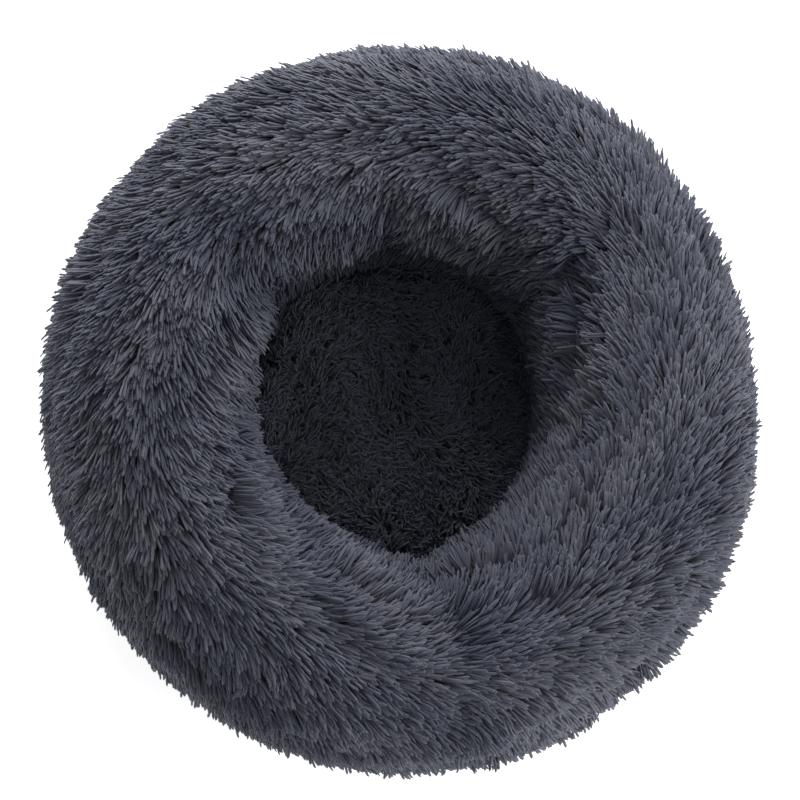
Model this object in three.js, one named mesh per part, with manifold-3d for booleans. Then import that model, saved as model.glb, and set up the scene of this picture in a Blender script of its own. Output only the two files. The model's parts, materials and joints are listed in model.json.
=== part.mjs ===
// Round plush pet bed: a stuffed fur ring around a sunken nest, on a flat base, with a zip low at the back.
// Millimetres, Z up. The bed stands on z = 0 with its middle on the Z axis and its back towards +Y.
import * as THREE from "three";
import { mergeVertices } from "three/addons/utils/BufferGeometryUtils.js";
import Module from "manifold-3d";

const wasm = await Module();
wasm.setup();

// ---- Sizes of the whole bed ----
const BED_DIAMETER = 600;
const BED_HEIGHT = 180;
const NEST_DIAMETER = 236; // the opening between the fur of the ring
const NEST_FLOOR = 52; // height of the sleeping surface at its rim
const FLOOR_CROWN = 6; // how much the stuffed pad rises in the middle

// ---- Cloth and fur ----
const FUR = 14; // backing and pile as it lies
const CLOTH = 1.2;
const BASE_CLOTH = 1.6;
const GAP = 0.4; // air between neighbouring pieces
const LINER_SLACK = 2.2; // the inner bag sits loosely in the fur
const TOP_ROUNDNESS = 2.2; // exponent of the ring's section above its middle
const BOTTOM_ROUNDNESS = 3; // and below it, where the ring sits flat
const SEAM_ANGLES = [40, 140, 275]; // degrees round the bed where two fur panels meet
const SEAM_HEIGHT = 6; // lower edge of the fur above the floor
const TAPE_WIDTH = 12; // binding tapes
const TURN_STEPS = 48; // flats in one turn of a round piece
const SECTION_FLAT = THREE.MathUtils.degToRad(19); // largest turn of one flat of the ring's section

// ---- Zip ----
const ZIP_FROM = 45; // degrees round the bed
const ZIP_TO = 132;
const ZIP_MIDDLE = 15.5; // height of the chain
const TAPE_HALF = 11.5; // from the middle of the chain to the upper tape's far edge
const TAPE_FOOT = 2; // from the base cloth's seam up to the lower tape's far edge
const TAPE_THICK = 0.8;
const CHAIN_GAP = 1.2; // between the two coils, for the slider's post
const COIL_WIDTH = 2.2;
const COIL_THICK = 1.6;
const COIL_END = 2.5; // degrees of bare tape at each end of the chain
const STOP_LENGTH = 2.6;
const ZIP_STEPS = 24; // flats along the zip
const MOVE_GAP = 0.35; // air round what moves
const SLIDER_LENGTH = 11;
const SLIDER_PLATE = 1.3;
const FLANGE = 0.8;
const POST_THICK = 0.5;
const POST_LENGTH = 3;
const BRIDGE_LENGTH = 7;
const BRIDGE_WIDTH = 2;
const BRIDGE_STRAP = 1.1;
const PIN = 1.4; // bar of the pull tab that runs under the bridge
const TAB_LENGTH = 23;
const TAB_WIDTH = 6.4;
const TAB_THICK = 1.2;
const TAB_ARM = 1.3;
const LABEL_WIDTH = 16;
const LABEL_THICK = 0.8;

// ---- Worked out from the sizes above ----
const ringHalfWidth = (BED_DIAMETER - NEST_DIAMETER) / 4;
const ringRadius = (BED_DIAMETER + NEST_DIAMETER) / 4;
const ringBottom = BASE_CLOTH + GAP;
const ringHalfHeight = (BED_HEIGHT - ringBottom) / 2;
const ringMiddle = ringBottom + ringHalfHeight;
const linerInset = FUR + LINER_SLACK;
const fillInset = linerInset + CLOTH + GAP;
const notchTop = ZIP_MIDDLE + TAPE_HALF + 2 * GAP;
const tapeFoot = ringBottom + TAPE_FOOT;
const zipRadius = outerRadiusAt(notchTop, linerInset) + SLIDER_PLATE + 5 * MOVE_GAP;
const baseRadius = zipRadius + TAPE_THICK;
const wallRadius = innerRadiusAt(NEST_FLOOR);
const coilInner = zipRadius + TAPE_THICK / 2 + 0.3;
const coilOuter = coilInner + COIL_THICK;
const degreesPerMm = 180 / (Math.PI * zipRadius);
const chainFrom = ZIP_FROM + COIL_END;
const chainTo = ZIP_TO - COIL_END;
const sliderAt = chainFrom + (STOP_LENGTH + MOVE_GAP + SLIDER_LENGTH / 2) * degreesPerMm;
const plateOuter = coilOuter + MOVE_GAP + SLIDER_PLATE;
const hingeRadius = plateOuter + MOVE_GAP + PIN / 2;
const bridgeTop = hingeRadius + PIN / 2 + MOVE_GAP + BRIDGE_STRAP;

// ---- Section of the ring ----
// A rounded box section: `turn` runs from 0 at the outside over the top to half a turn at the nest.
function sectionPoint(turn, inset) {
  const up = Math.sin(turn);
  const out = Math.cos(turn);
  const power = 2 / (up < 0 ? BOTTOM_ROUNDNESS : TOP_ROUNDNESS);
  return new THREE.Vector2(
    ringRadius + Math.sign(out) * (ringHalfWidth - inset) * Math.abs(out) ** power,
    ringMiddle + Math.sign(up) * (ringHalfHeight - inset) * Math.abs(up) ** power,
  );
}

// The turn at which the section, on its lower half, is at this height.
function turnAt(height, inset = 0) {
  const depth = Math.min((ringMiddle - height) / (ringHalfHeight - inset), 1);
  return Math.asin(depth ** (BOTTOM_ROUNDNESS / 2));
}

function outerRadiusAt(height, inset = 0) {
  return sectionPoint(-turnAt(height, inset), inset).x;
}

function innerRadiusAt(height, inset = 0) {
  return sectionPoint(Math.PI + turnAt(height, inset), inset).x;
}

// Points along the section, always with its outermost, highest, innermost and lowest ones.
function sectionCurve(from, to, inset) {
  const quarters = [-2, -1, 0, 1, 2].map((n) => (n * Math.PI) / 2);
  const ends = [from, ...quarters.filter((turn) => turn > from && turn < to), to];
  const points = [sectionPoint(from, inset)];
  for (let i = 1; i < ends.length; i++) {
    const steps = Math.ceil((ends[i] - ends[i - 1]) / SECTION_FLAT);
    for (let n = 1; n <= steps; n++) {
      points.push(sectionPoint(ends[i - 1] + ((ends[i] - ends[i - 1]) * n) / steps, inset));
    }
  }
  return points;
}

// ---- Solids ----
function solid(geometry) {
  geometry.deleteAttribute("normal");
  geometry.deleteAttribute("uv");
  const merged = mergeVertices(geometry, 1e-4);
  return new wasm.Manifold(
    new wasm.Mesh({
      numProp: 3,
      vertProperties: merged.attributes.position.array,
      triVerts: new Uint32Array(merged.index.array),
    }),
  );
}

// A closed profile of (radius, height) points turned once round the Z axis.
function turned(points) {
  const first = points[0];
  const onAxis = first.x === 0 && points.at(-1).x === 0;
  const profile = onAxis ? points : [...points, first];
  return solid(new THREE.LatheGeometry(profile, TURN_STEPS).rotateX(Math.PI / 2));
}

function ringBand(inner, outer, bottom, top) {
  return turned([
    new THREE.Vector2(inner, bottom),
    new THREE.Vector2(outer, bottom),
    new THREE.Vector2(outer, top),
    new THREE.Vector2(inner, top),
  ]);
}

function disc(radius, bottom, top, crown = 0) {
  return turned([
    new THREE.Vector2(0, bottom),
    new THREE.Vector2(radius, bottom),
    new THREE.Vector2(radius, top),
    ...[0.85, 0.6, 0.3].map(
      (share) => new THREE.Vector2(radius * share, top + crown * (1 - share ** 2)),
    ),
    new THREE.Vector2(0, top + crown),
  ]);
}

function polar(radius, degrees) {
  const angle = THREE.MathUtils.degToRad(degrees);
  return new THREE.Vector2(radius * Math.cos(angle), radius * Math.sin(angle));
}

// A band that follows part of a circle round the Z axis.
function arcBand(inner, outer, from, to, bottom, top, steps = ZIP_STEPS) {
  const along = Array.from({ length: steps + 1 }, (_, i) => from + ((to - from) * i) / steps);
  const outline = new THREE.Shape([
    ...along.map((degrees) => polar(outer, degrees)),
    ...along.reverse().map((degrees) => polar(inner, degrees)),
  ]);
  const band = new THREE.ExtrudeGeometry(outline, { depth: top - bottom, bevelEnabled: false });
  return solid(band.translate(0, 0, bottom));
}

// Everything between two directions from the Z axis, for cutting a ring into panels.
function wedge(from, to) {
  const reach = BED_DIAMETER;
  const steps = 6;
  const rim = Array.from({ length: steps + 1 }, (_, i) =>
    polar(reach, from + ((to - from) * i) / steps),
  );
  const outline = new THREE.Shape([new THREE.Vector2(0, 0), ...rim]);
  const slice = new THREE.ExtrudeGeometry(outline, { depth: 2 * BED_HEIGHT, bevelEnabled: false });
  return solid(slice.translate(0, 0, -BED_HEIGHT / 2));
}

// A box given in the slider's own directions: along the zip, outwards and up.
function zipBox(along, outwards, up) {
  const box = new THREE.BoxGeometry(
    outwards[1] - outwards[0],
    along[1] - along[0],
    up[1] - up[0],
  );
  box.translate(
    (outwards[0] + outwards[1]) / 2,
    (along[0] + along[1]) / 2,
    (up[0] + up[1]) / 2 + ZIP_MIDDLE,
  );
  return solid(box.rotateZ(THREE.MathUtils.degToRad(sliderAt)));
}

// ---- Fur ----
function furShell() {
  const from = -turnAt(SEAM_HEIGHT);
  const to = Math.PI + turnAt(NEST_FLOOR + GAP);
  const outside = sectionCurve(from, to, 0);
  const inside = sectionCurve(from, to, FUR);
  return turned([...outside, ...inside.reverse()]);
}

function furPanel(from, to, notch) {
  const halfSeam = THREE.MathUtils.radToDeg(GAP / NEST_DIAMETER);
  const panel = furShell().intersect(wedge(from + halfSeam, to - halfSeam));
  return notch ? panel.subtract(notch) : panel;
}

// The part of the back panel's lower edge that is left out for the zip.
function zipNotch() {
  const outer = BED_DIAMETER / 2 + FUR;
  return arcBand(NEST_DIAMETER / 2, outer, ZIP_FROM - 3, ZIP_TO + 6, -GAP, notchTop, 12);
}

function nestFur() {
  return disc(wallRadius - 2 * GAP, NEST_FLOOR - FUR + CLOTH, NEST_FLOOR - GAP, FLOOR_CROWN);
}

// ---- Cloth ----
function baseCloth() {
  return disc(baseRadius, 0, BASE_CLOTH);
}

function wallCloth() {
  return ringBand(wallRadius, wallRadius + CLOTH, ringBottom, NEST_FLOOR - GAP);
}

function nestBinding() {
  const inner = wallRadius + CLOTH + GAP;
  const top = NEST_FLOOR - GAP;
  return ringBand(inner, inner + CLOTH, top - TAPE_WIDTH, top);
}

function baseBinding() {
  const outer = outerRadiusAt(SEAM_HEIGHT, FUR / 2) - 2 * FUR;
  return ringBand(outer - TAPE_WIDTH, outer, ringBottom, ringBottom + CLOTH);
}

function linerHalf(from, to) {
  const outside = sectionCurve(from, to, linerInset);
  const inside = sectionCurve(from, to, linerInset + CLOTH);
  return turned([...outside, ...inside.reverse()]);
}

function upperLiner() {
  return linerHalf(0.01, Math.PI - 0.01);
}

function lowerLiner() {
  return linerHalf(-Math.PI + 0.01, -0.01);
}

function padLiner() {
  const radius = wallRadius - 2 * GAP;
  const rim = NEST_FLOOR - FUR + CLOTH - GAP;
  return turned([
    new THREE.Vector2(0, ringBottom),
    new THREE.Vector2(radius, ringBottom),
    new THREE.Vector2(radius, rim),
    new THREE.Vector2(radius - CLOTH, rim),
    new THREE.Vector2(radius - CLOTH, ringBottom + CLOTH),
    new THREE.Vector2(0, ringBottom + CLOTH),
  ]);
}

function careLabel() {
  const from = ZIP_TO + 1;
  const to = from + LABEL_WIDTH * degreesPerMm;
  return arcBand(zipRadius, zipRadius + LABEL_THICK, from, to, tapeFoot, notchTop - 2 * GAP, 2);
}

// ---- Fill ----
function ringFill() {
  return turned(sectionCurve(-Math.PI, Math.PI, fillInset).slice(0, -1));
}

function padFill() {
  const radius = wallRadius - 3 * GAP - CLOTH;
  return disc(radius, ringBottom + CLOTH + GAP, NEST_FLOOR - FUR + CLOTH - GAP);
}

// ---- Zip ----
function zipTape(side) {
  const near = ZIP_MIDDLE + side * (CHAIN_GAP / 2 + 0.2);
  const far = side > 0 ? ZIP_MIDDLE + TAPE_HALF : tapeFoot;
  const [low, high] = [near, far].sort((a, b) => a - b);
  const inner = zipRadius - TAPE_THICK / 2;
  return arcBand(inner, inner + TAPE_THICK, ZIP_FROM, ZIP_TO, low, high);
}

function onChain(side, from, to, steps) {
  const near = side * (CHAIN_GAP / 2);
  const far = side * (CHAIN_GAP / 2 + COIL_WIDTH);
  const [low, high] = [near, far].sort((a, b) => a - b);
  return arcBand(coilInner, coilOuter, from, to, ZIP_MIDDLE + low, ZIP_MIDDLE + high, steps);
}

function zipCoil(side) {
  const clear = (STOP_LENGTH + GAP) * degreesPerMm;
  return onChain(side, chainFrom + clear, chainTo - clear, ZIP_STEPS);
}

function topStop(side) {
  return onChain(side, chainFrom, chainFrom + STOP_LENGTH * degreesPerMm, 1);
}

function bottomStop() {
  const half = CHAIN_GAP / 2 + COIL_WIDTH;
  const from = chainTo - STOP_LENGTH * degreesPerMm;
  return arcBand(coilInner, coilOuter, from, chainTo, ZIP_MIDDLE - half, ZIP_MIDDLE + half, 1);
}

function slider() {
  const half = SLIDER_LENGTH / 2;
  const side = CHAIN_GAP / 2 + COIL_WIDTH + MOVE_GAP + FLANGE;
  const plateInner = coilOuter + MOVE_GAP;
  const backOuter = zipRadius - TAPE_THICK / 2 - MOVE_GAP;
  const flangeInner = zipRadius + TAPE_THICK / 2 + MOVE_GAP;
  let body = zipBox([-half, half], [plateInner, plateOuter], [-side, side]);
  body = body.add(zipBox([-half, half], [backOuter - SLIDER_PLATE, backOuter], [-side, side]));
  const post = [-half, -half + POST_LENGTH];
  body = body.add(zipBox(post, [backOuter - 0.1, plateInner + 0.1], [-POST_THICK / 2, POST_THICK / 2]));
  for (const edge of [-1, 1]) {
    const width = [edge * side, edge * (side - FLANGE)].sort((a, b) => a - b);
    body = body.add(zipBox([-half, half], [flangeInner, plateInner + 0.1], width));
  }
  const bridgeHalf = BRIDGE_LENGTH / 2;
  const strap = [-BRIDGE_WIDTH / 2, BRIDGE_WIDTH / 2];
  body = body.add(zipBox([-bridgeHalf, bridgeHalf], [bridgeTop - BRIDGE_STRAP, bridgeTop], strap));
  for (const end of [-1, 1]) {
    const leg = [end * bridgeHalf, end * (bridgeHalf - BRIDGE_STRAP)].sort((a, b) => a - b);
    body = body.add(zipBox(leg, [plateOuter - 0.1, bridgeTop], strap));
  }
  return body;
}

function pullTab() {
  const half = TAB_WIDTH / 2;
  const across = [hingeRadius - TAB_THICK / 2, hingeRadius + TAB_THICK / 2];
  const eye = BRIDGE_LENGTH / 2 + BRIDGE_STRAP + MOVE_GAP;
  const bar = new THREE.CylinderGeometry(PIN / 2, PIN / 2, TAB_WIDTH, 16).rotateX(Math.PI / 2);
  bar.translate(hingeRadius, 0, ZIP_MIDDLE).rotateZ(THREE.MathUtils.degToRad(sliderAt));
  let tab = solid(bar).add(zipBox([eye, TAB_LENGTH], across, [-half, half]));
  for (const edge of [-1, 1]) {
    const arm = [edge * half, edge * (half - TAB_ARM)].sort((a, b) => a - b);
    tab = tab.add(zipBox([0, eye + 0.1], across, arm));
  }
  return tab;
}

// ---- The bed ----
function node(name, body, colour, roughness, metalness = 0) {
  const made = body.getMesh();
  const geometry = new THREE.BufferGeometry();
  geometry.setAttribute("position", new THREE.BufferAttribute(made.vertProperties, 3));
  geometry.setIndex(new THREE.BufferAttribute(made.triVerts, 1));
  geometry.computeVertexNormals();
  const material = new THREE.MeshStandardMaterial({ color: colour, roughness, metalness });
  const mesh = new THREE.Mesh(geometry, material);
  mesh.name = name;
  return mesh;
}

const SLATE = 0x3d4453;
const SLATE_DARK = 0x2a2f3b;
const BLACK_CLOTH = 0x202227;
const FIBRE = 0xe9e8e4;
const NONWOVEN = 0xd9d9d5;
const ZIP_BLACK = 0x191b20;
const NICKEL = 0x9a9ca0;

const [backSeam, leftSeam, frontSeam] = SEAM_ANGLES;
const bed = new THREE.Group();
bed.name = "plush_ring_bed";
bed.add(
  node("ring_fur_back", furPanel(backSeam, leftSeam, zipNotch()), SLATE, 0.95),
  node("ring_fur_left", furPanel(leftSeam, frontSeam), SLATE, 0.95),
  node("ring_fur_right", furPanel(frontSeam, backSeam + 360), SLATE, 0.95),
  node("nest_fur", nestFur(), SLATE_DARK, 0.95),
  node("base_cloth", baseCloth(), BLACK_CLOTH, 0.8),
  node("wall_cloth", wallCloth(), BLACK_CLOTH, 0.85),
  node("nest_binding", nestBinding(), BLACK_CLOTH, 0.8),
  node("base_binding", baseBinding(), BLACK_CLOTH, 0.8),
  node("ring_liner_upper", upperLiner(), NONWOVEN, 0.9),
  node("ring_liner_lower", lowerLiner(), NONWOVEN, 0.9),
  node("ring_fill", ringFill(), FIBRE, 1),
  node("pad_liner", padLiner(), NONWOVEN, 0.9),
  node("pad_fill", padFill(), FIBRE, 1),
  node("zip_tape_upper", zipTape(1), ZIP_BLACK, 0.85),
  node("zip_tape_lower", zipTape(-1), ZIP_BLACK, 0.85),
  node("zip_coil_upper", zipCoil(1), ZIP_BLACK, 0.4),
  node("zip_coil_lower", zipCoil(-1), ZIP_BLACK, 0.4),
  node("zip_top_stop_upper", topStop(1), NICKEL, 0.35, 1),
  node("zip_top_stop_lower", topStop(-1), NICKEL, 0.35, 1),
  node("zip_bottom_stop", bottomStop(), NICKEL, 0.35, 1),
  node("zip_slider", slider(), NICKEL, 0.3, 1),
  node("zip_pull", pullTab(), NICKEL, 0.3, 1),
  node("care_label", careLabel(), 0xf2f1ee, 0.6),
);

export default bed;
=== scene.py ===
"""Plush ring pet bed: three long-pile fur panels sewn into a stuffed ring round a nest, on a zipped base.

The pile is made of many separate tapering locks that are rooted in the backing and combed round the ring.
"""

import json
import math

import bpy
import numpy as np
from bpy.props import FloatProperty, IntProperty, PointerProperty
from bpy.types import Operator, Panel, PropertyGroup
from mathutils import Matrix, Vector
from mathutils.kdtree import KDTree


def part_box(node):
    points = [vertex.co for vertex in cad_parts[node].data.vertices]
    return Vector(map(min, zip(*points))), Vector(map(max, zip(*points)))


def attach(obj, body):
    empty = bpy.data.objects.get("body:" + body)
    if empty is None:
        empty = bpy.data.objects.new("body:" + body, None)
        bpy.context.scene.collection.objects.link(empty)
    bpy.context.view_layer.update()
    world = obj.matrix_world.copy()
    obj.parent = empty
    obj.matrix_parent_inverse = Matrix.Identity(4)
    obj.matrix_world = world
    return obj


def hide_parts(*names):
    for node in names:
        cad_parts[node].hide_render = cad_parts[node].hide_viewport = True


bl_info = {
    "name": "Plush ring bed",
    "version": (1, 0, 0),
    "blender": (4, 5, 0),
    "location": "View3D > Sidebar > Plush Bed",
    "description": "Builds a long-pile ring bed for pets around its packed frame",
    "category": "Object",
}

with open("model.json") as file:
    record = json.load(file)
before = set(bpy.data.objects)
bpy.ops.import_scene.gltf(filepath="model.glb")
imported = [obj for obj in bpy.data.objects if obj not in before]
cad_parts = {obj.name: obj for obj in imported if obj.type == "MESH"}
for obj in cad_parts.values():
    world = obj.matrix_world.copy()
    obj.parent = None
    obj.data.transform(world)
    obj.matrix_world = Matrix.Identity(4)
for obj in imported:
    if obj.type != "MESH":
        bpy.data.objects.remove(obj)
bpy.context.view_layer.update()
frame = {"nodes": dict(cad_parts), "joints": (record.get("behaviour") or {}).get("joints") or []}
MM = 0.001
TURN = 2 * math.pi
WIDE_SIDE = 2.39  # direction, in radians, towards which the nest opens the widest
# Painted shade: on the side of the next direction, away from the lamps, the pile is painted a little darker.
PAINTED_SHADE_SIDE = 4.6  # direction, in radians, on whose side the pile is a little darker
PLAIN_SPOT = 1.2  # direction, in radians, in which the ring has no seam or crease
FUR_FOOT = 7 * MM  # height of the fur's lower edge
# Rounding of the ring's section above and below its middle, and how far the cloth lies inside the pile.
TOP_ROUND = 2 / 2.2
BOTTOM_ROUND = 2 / 3
PILE_SET_BACK = 18 * MM
LINING_SET_BACK = PILE_SET_BACK + 4 * MM
STUFFING_SET_BACK = PILE_SET_BACK + 8 * MM
STRIPS = 32  # shades of lock, side by side on the pile's map
HAIRS = 11.0  # hairs drawn across a lock
# Creases that the stuffing leaves: direction in degrees, place across the ring (0 on its crown), depth in mm
# and width in degrees.
CREASES = ((97, -0.6, 12, 4.5), (148, -0.35, 6, 6.5), (297, -0.1, 3.5, 7), (58, -0.6, 5, 6.5))


# ---------------------------------------------------------------- settings


def length_setting(name, description, default):
    return FloatProperty(name=name, description=description, default=default, unit="LENGTH")


def angle_setting(name, description, default):
    return FloatProperty(name=name, description=description, default=math.radians(default), subtype="ANGLE")


class PileSettings(PropertyGroup):
    locks: IntProperty(name="Locks", description="Locks of pile on the ring", default=84000, min=100)
    length: length_setting("Length", "Length of a lock", 33 * MM)
    width: length_setting("Width", "Width of a lock", 2.45 * MM)
    root_lean: angle_setting("Root lean", "Lean of a lock where it leaves the cloth", 37)
    tip_lean: angle_setting("Tip lean", "Lean of a lock at its tip", 89)
    clump: length_setting("Clump", "Distance between the middles of two tufts", 6.5 * MM)
    gather: FloatProperty(
        name="Gather", description="How far the tips of a tuft draw together", default=0.25, min=0, max=1
    )


class NestSettings(PropertyGroup):
    locks: IntProperty(name="Locks", description="Locks of pile on the nest floor", default=10500, min=100)
    length: length_setting("Length", "Length of a lock", 17 * MM)
    width: length_setting("Width", "Width of a lock", 1.9 * MM)


class BaseSettings(PropertyGroup):
    dot_spacing: length_setting("Dot spacing", "Distance between two grip dots", 14 * MM)
    dot_size: length_setting("Dot size", "Width of a grip dot", 3.4 * MM)


class ZipSettings(PropertyGroup):
    pitch: length_setting("Pitch", "Distance between two turns of a coil", 1.9 * MM)


class StageSettings(PropertyGroup):
    key_power: FloatProperty(name="Key", description="Power of the soft key light", default=103, unit="POWER")
    sky: FloatProperty(name="Sky", description="Strength of the even light from all round", default=0.4)


# ---------------------------------------------------------------- the ring's shape


def points_of(mesh):
    """A mesh's points as rows of x, y and z."""
    found = np.empty(len(mesh.vertices) * 3, np.float32)
    mesh.vertices.foreach_get("co", found)
    return found.reshape(-1, 3)


def vertices_of(node):
    """A frame node's points as rows of x, y and z."""
    return points_of(frame["nodes"][node].data).astype(float)


def polar(radius, phi, height):
    """Points at this radius, direction and height."""
    return np.stack([radius * np.cos(phi), radius * np.sin(phi), height], -1)


def panel_span(node):
    """The directions, in radians round the bed, between which a fur panel lies."""
    co = vertices_of(node)
    middle = math.atan2(co[:, 1].mean(), co[:, 0].mean())
    off = (np.arctan2(co[:, 1], co[:, 0]) - middle + math.pi) % TURN - math.pi
    start = (middle + off.min()) % TURN
    return start, start + off.max() - off.min()


def along_zip(node):
    """The node's extent in the zip's own directions: radius, angle and height, each as (low, high)."""
    co = vertices_of(node)
    radius, angle = np.hypot(co[:, 0], co[:, 1]), np.arctan2(co[:, 1], co[:, 0])
    return [(float(v.min()), float(v.max())) for v in (radius, angle, co[:, 2])]


(ZIP_RADIUS, _), TAPE_RANGE, (_, ZIP_TOP) = along_zip("zip_tape_upper")
ZIP_RANGE = (TAPE_RANGE[0] - 0.012, along_zip("care_label")[1][1] + 0.012)
PANELS = {name: panel_span(f"ring_fur_{name}") for name in ("back", "left", "right")}
RING_CO = np.concatenate([vertices_of(f"ring_fur_{name}") for name in PANELS])
OUTER = float(np.hypot(RING_CO[:, 0], RING_CO[:, 1]).max())
INNER = float(np.hypot(RING_CO[:, 0], RING_CO[:, 1]).min())
TOP = float(RING_CO[:, 2].max())
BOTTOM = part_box("base_cloth")[1].z + 0.4 * MM
FLOOR_RIM = float(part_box("nest_fur")[1].z)
RING_R, HALF_W = (OUTER + INNER) / 2, (OUTER - INNER) / 2
MIDDLE, HALF_H = (TOP + BOTTOM) / 2, (TOP - BOTTOM) / 2


def waves(x, y, seed, finest=4):
    """Smooth random hills between about -1 and 1 that close on themselves in x."""
    random = np.random.default_rng(seed)
    total = np.zeros(np.broadcast(x, y).shape)
    for _ in range(9):
        along, across = random.integers(1, finest + 1), random.uniform(-1.0, 1.0) * finest / 2
        total = total + np.sin(along * x + across * y + random.uniform(0, TURN))
    return total / 3.6


def from_seam(phi):
    """Angle in degrees to the nearest seam between two panels."""
    starts = np.degrees([start for start, _ in PANELS.values()])
    return np.min([np.abs((np.degrees(phi) - s + 180) % 360 - 180) for s in starts], axis=0)


def across(turn):
    """Where a turn of the section lies: 1 at the outside, 0 on the crown, -1 at the nest side."""
    return 1 - turn / (math.pi / 2)


def creases(phi, side):
    """How deep the creases are here, in mm."""
    total = 0 * phi
    for degrees, spot, depth, width in CREASES:
        away = (np.degrees(phi) - degrees + 180) % 360 - 180
        total = total + depth * np.exp(-((away / width) ** 2) - ((side - spot) / 0.32) ** 2)
    return total


def in_zip(phi, start, end):
    """Where a direction lies between two directions."""
    return ((phi - start) % TURN) < end - start


def hollows(phi, turn, side):
    """How far the stuffed cloth lies inside its smooth shape, at seams and creases and between lumps."""
    seam = from_seam(phi)
    pinch = np.exp(-((seam / 5.5) ** 2)) * (2 + 8.5 * np.clip(0.15 - side, 0, 1.1))
    pinch = pinch + np.exp(-((seam / 15) ** 2)) * 4 * np.clip(0.6 - side, 0, 1) + creases(phi, side)
    lump = 3.2 * waves(phi, turn * 1.6, 3, 5) + 2.0 * waves(phi, turn * 2.5, 4, 12)
    drawn_in = (8 + 18 * np.cos(phi - WIDE_SIDE)) * np.clip(-side - 0.35, 0, 0.8)
    return MM * (pinch - lump * np.clip(np.sin(turn) + 0.4, 0, 1) + drawn_in)


def zip_reach(phi, height, inset):
    """The radius inside which the cloth stays: behind the zip along it, and free further away."""
    along = (phi - ZIP_RANGE[0]) % TURN
    beyond = np.clip(np.minimum(along - (ZIP_RANGE[1] - ZIP_RANGE[0]), TURN - along), 0, 1) * OUTER
    over = np.maximum(height - ZIP_TOP, 0)
    return ZIP_RADIUS - 1.6 * MM - max(inset - PILE_SET_BACK, 0) + 1.2 * (over + beyond)


def ring_point(phi, turn, inset):
    """A point of the stuffed ring. phi goes round the bed, turn from the outside over the top."""
    turn = (turn + math.pi / 2) % TURN - math.pi / 2
    up, out, side = np.sin(turn), np.cos(turn), across(turn)
    power = np.where(up < 0, BOTTOM_ROUND, TOP_ROUND)
    foot = np.clip((-up - np.where(side < 0, 0.1, 0.35)) / 0.6, 0, 1)
    snug = 1 - foot * foot * (3 - 2 * foot)
    drop = max(inset - PILE_SET_BACK, 0) + (min(inset, PILE_SET_BACK) + hollows(phi, turn, side)) * snug
    radius = RING_R + 2 * MM * waves(phi, 0 * turn, 9, 3)
    radius = radius + np.sign(out) * (HALF_W - drop) * np.abs(out) ** power
    height = MIDDLE + np.sign(up) * (HALF_H - drop) * np.abs(up) ** power
    radius = np.minimum(radius, zip_reach(phi, height, inset))
    return polar(radius, phi, height)


def unit(v):
    """Vectors with the length 1."""
    return v / np.maximum(np.linalg.norm(v, axis=-1, keepdims=True), 1e-12)


def ring_frame(phi, turn, inset):
    """Points of the ring with their normals and two directions along it: round the bed and outwards."""
    step = 1e-4
    place = ring_point(phi, turn, inset)
    around = unit(ring_point(phi + step, turn, inset) - ring_point(phi - step, turn, inset))
    outwards = ring_point(phi, turn - step, inset) - ring_point(phi, turn + step, inset)
    normal = unit(np.cross(outwards, around))
    core = polar(RING_R, phi, MIDDLE + 0 * phi)
    normal = normal * np.sign(((place - core) * normal).sum(-1, keepdims=True))
    outwards = outwards - normal * (outwards * normal).sum(-1, keepdims=True)
    return place, normal, around, unit(outwards)


FOOT_TURN = -math.asin(((MIDDLE - FUR_FOOT) / HALF_H) ** (1 / BOTTOM_ROUND))  # the fur's lower edge


# ---------------------------------------------------------------- meshes


def deselect():
    """Leaves edit mode and selects nothing."""
    if bpy.context.object and bpy.context.object.mode != "OBJECT":
        bpy.ops.object.mode_set(mode="OBJECT")
    bpy.ops.object.select_all(action="DESELECT")


def pick(obj):
    """Selects one object and makes it the active one."""
    deselect()
    obj.select_set(True)
    bpy.context.view_layer.objects.active = obj


def face_outward(obj, merge=0.0):
    """Points the faces outwards, after points closer than merge are joined."""
    pick(obj)
    bpy.ops.object.mode_set(mode="EDIT")
    bpy.ops.mesh.select_all(action="SELECT")
    if merge:
        bpy.ops.mesh.remove_doubles(threshold=merge)
    bpy.ops.mesh.normals_make_consistent(inside=False)
    bpy.ops.object.mode_set(mode="OBJECT")


def apply_modifiers(obj):
    pick(obj)
    for modifier in list(obj.modifiers):
        bpy.ops.object.modifier_apply(modifier=modifier.name)


def finish_piece(obj, name, material, body="bed"):
    """Names a finished piece, bakes its place into its mesh, and gives it its material and body."""
    pick(obj)
    bpy.ops.object.transform_apply(location=True, rotation=True, scale=True)
    obj.name = obj.data.name = name
    obj.data.materials.clear()
    obj.data.materials.append(material)
    obj.data.polygons.foreach_set("use_smooth", [True] * len(obj.data.polygons))
    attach(obj, body)
    return obj


def cloth_patch(columns, rows, place, thick, closed=False):
    """A sheet of cloth: a flat grid moved by place(u, v), joined where closed, then given its thickness."""
    deselect()
    bpy.ops.mesh.primitive_grid_add(x_subdivisions=columns, y_subdivisions=rows, size=1)
    obj = bpy.context.object
    flat = (points_of(obj.data) + 0.5).astype(float)
    obj.data.vertices.foreach_set("co", place(flat[:, 0], flat[:, 1]).astype(np.float32).ravel())
    if closed:
        face_outward(obj, merge=1e-5)
    if thick:
        solidify = obj.modifiers.new("Thickness", "SOLIDIFY")
        solidify.thickness, solidify.offset = thick, 0
        apply_modifiers(obj)
        face_outward(obj)
    return obj


def disc_place(reach, height):
    """place(u, v) of a round sheet of this radius whose height is height(x, y)."""

    def place(u, v):
        x, y = (u - 0.5) * 2, (v - 0.5) * 2
        spread = np.maximum(np.abs(x), np.abs(y)) / np.maximum(np.hypot(x, y), 1e-9)
        x, y = x * spread * reach, y * spread * reach
        return np.stack([x, y, height(x, y)], -1)

    return place


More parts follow.
